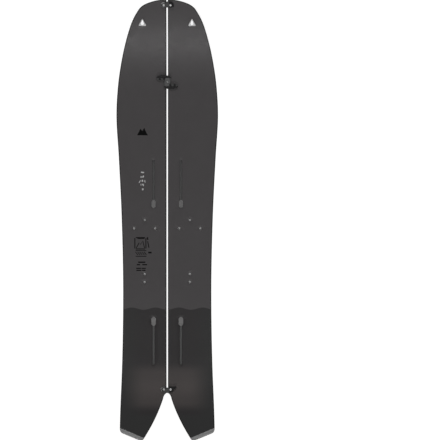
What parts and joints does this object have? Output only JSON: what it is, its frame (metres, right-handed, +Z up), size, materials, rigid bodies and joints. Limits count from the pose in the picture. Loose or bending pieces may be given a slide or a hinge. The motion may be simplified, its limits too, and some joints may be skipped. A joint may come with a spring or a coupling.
{
  "type": "splitboard",
  "caption": "Swallow-tail snowboard split lengthwise into two laminated halves, held by seam hooks and latches at nose and tail, with binding channels and inserts.",
  "frame": {"origin": "middle of the footprint, on the ground under the board", "axes": "+Y towards the nose, +Z up out of the top sheet, +X towards the half that carries the two latches"},
  "size_m": [0.3398, 1.48, 0.0609],
  "materials": {
    "topsheet": "matte charcoal sheet with a faint grain and small printed marks",
    "base_black": "sintered black base with a fine ground structure",
    "base_gold": "sintered gold-tan base",
    "edge_steel": "ground steel edge",
    "sidewall": "black machined plastic",
    "fibreglass": "glass cloth in resin",
    "wood_core": "planed strips of light wood",
    "tail_guard": "grey plate with a dull brushed face",
    "bright_metal": "bright stainless",
    "channel_metal": "dark anodised",
    "black_metal": "black coated",
    "grey_metal": "grey anodised"
  },
  "bodies": {
    "left_half": {"base_front_left": "base_black", "base_tail_left": "base_gold", "outer_edge_left": "edge_steel", "inner_edge_left": "edge_steel", "lower_laminate_left": "fibreglass", "outer_sidewall_left": "sidewall", "inner_sidewall_left": "sidewall", "core_left": "wood_core", "upper_laminate_left": "fibreglass", "topsheet_left": "topsheet", "tail_guard_left": "tail_guard", "tip_grommet_left": "bright_metal", "front_channel_left": "channel_metal", "rear_channel_left": "channel_metal", "toe_insert_1_left": "bright_metal", "toe_insert_2_left": "bright_metal", "toe_insert_3_left": "bright_metal", "heel_insert_1_left": "bright_metal", "heel_insert_2_left": "bright_metal", "nose_keeper_plate": "grey_metal", "nose_keeper_post": "bright_metal", "tail_keeper_plate": "grey_metal", "tail_keeper_post": "bright_metal", "hook_left": "black_metal", "hook_rivet_left_1": "black_metal", "hook_rivet_left_2": "black_metal"},
    "right_half": {"base_front_right": "base_black", "base_tail_right": "base_gold", "outer_edge_right": "edge_steel", "inner_edge_right": "edge_steel", "lower_laminate_right": "fibreglass", "outer_sidewall_right": "sidewall", "inner_sidewall_right": "sidewall", "core_right": "wood_core", "upper_laminate_right": "fibreglass", "topsheet_right": "topsheet", "tail_guard_right": "tail_guard", "tip_grommet_right": "bright_metal", "front_channel_right": "channel_metal", "rear_channel_right": "channel_metal", "toe_insert_1_right": "bright_metal", "toe_insert_2_right": "bright_metal", "toe_insert_3_right": "bright_metal", "heel_insert_1_right": "bright_metal", "heel_insert_2_right": "bright_metal", "nose_latch_plate": "black_metal", "nose_latch_pivot": "bright_metal", "tail_latch_plate": "black_metal", "tail_latch_pivot": "bright_metal", "hook_right": "black_metal", "hook_rivet_right_1": "black_metal", "hook_rivet_right_2": "black_metal"},
    "nose_latch": {"nose_latch": "black_metal"},
    "tail_latch": {"tail_latch": "black_metal"}
  },
  "joints": [
    {"name": "half_split", "type": "slide", "parent": "left_half", "child": "right_half", "axis": [0.7071, -0.7071, 0], "range_m": [0, 0.25]},
    {"name": "nose_latch_swing", "type": "hinge", "parent": "right_half", "child": "nose_latch", "pos_m": [0.011, 0.7217, 0.05216], "axis": [0, -0.3143, 0.9493], "range_deg": [0, 95]},
    {"name": "tail_latch_swing", "type": "hinge", "parent": "right_half", "child": "tail_latch", "pos_m": [0.0112, -0.5657, 0.00911], "axis": [0, 0.0097, 1], "range_deg": [0, 95]}
  ]
}
